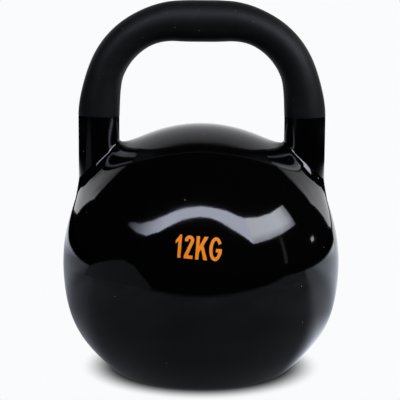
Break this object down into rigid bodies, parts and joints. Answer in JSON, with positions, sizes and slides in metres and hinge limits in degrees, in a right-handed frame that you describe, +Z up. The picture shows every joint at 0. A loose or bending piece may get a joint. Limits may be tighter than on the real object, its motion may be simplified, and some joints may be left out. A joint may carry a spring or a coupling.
{
  "type": "kettlebell",
  "caption": "Competition-pattern kettlebell: a glossy hollow ball with a flat foot, a wide arched tube handle with a matt grip sleeve, and a plain weight mark on the front.",
  "frame": {"origin": "centre of the flat foot, on the floor the kettlebell stands on", "axes": "+Z up through the ball and the handle, +X across the handle from its left leg to its right leg, -Y the front with the weight mark"},
  "size_m": [0.21, 0.21, 0.28],
  "materials": {
    "black_enamel": "gloss",
    "grip_rubber": "matte",
    "orange_ink": "satin",
    "bare_steel": "satin",
    "zinced_steel": "satin",
    "cement": "matte",
    "nitrile": "matte"
  },
  "bodies": {
    "root": {"upper_shell": "black_enamel", "lower_shell": "black_enamel", "equator_weld": "black_enamel", "seam_backing_ring": "bare_steel", "ballast": "cement", "handle_tube": "black_enamel", "grip_sleeve": "grip_rubber", "left_leg_weld": "black_enamel", "right_leg_weld": "black_enamel", "filling_boss": "bare_steel", "base_plug": "zinced_steel", "plug_washer": "nitrile", "mark_1": "orange_ink", "mark_2": "orange_ink", "mark_K": "orange_ink", "mark_G": "orange_ink"}
  },
  "joints": []
}
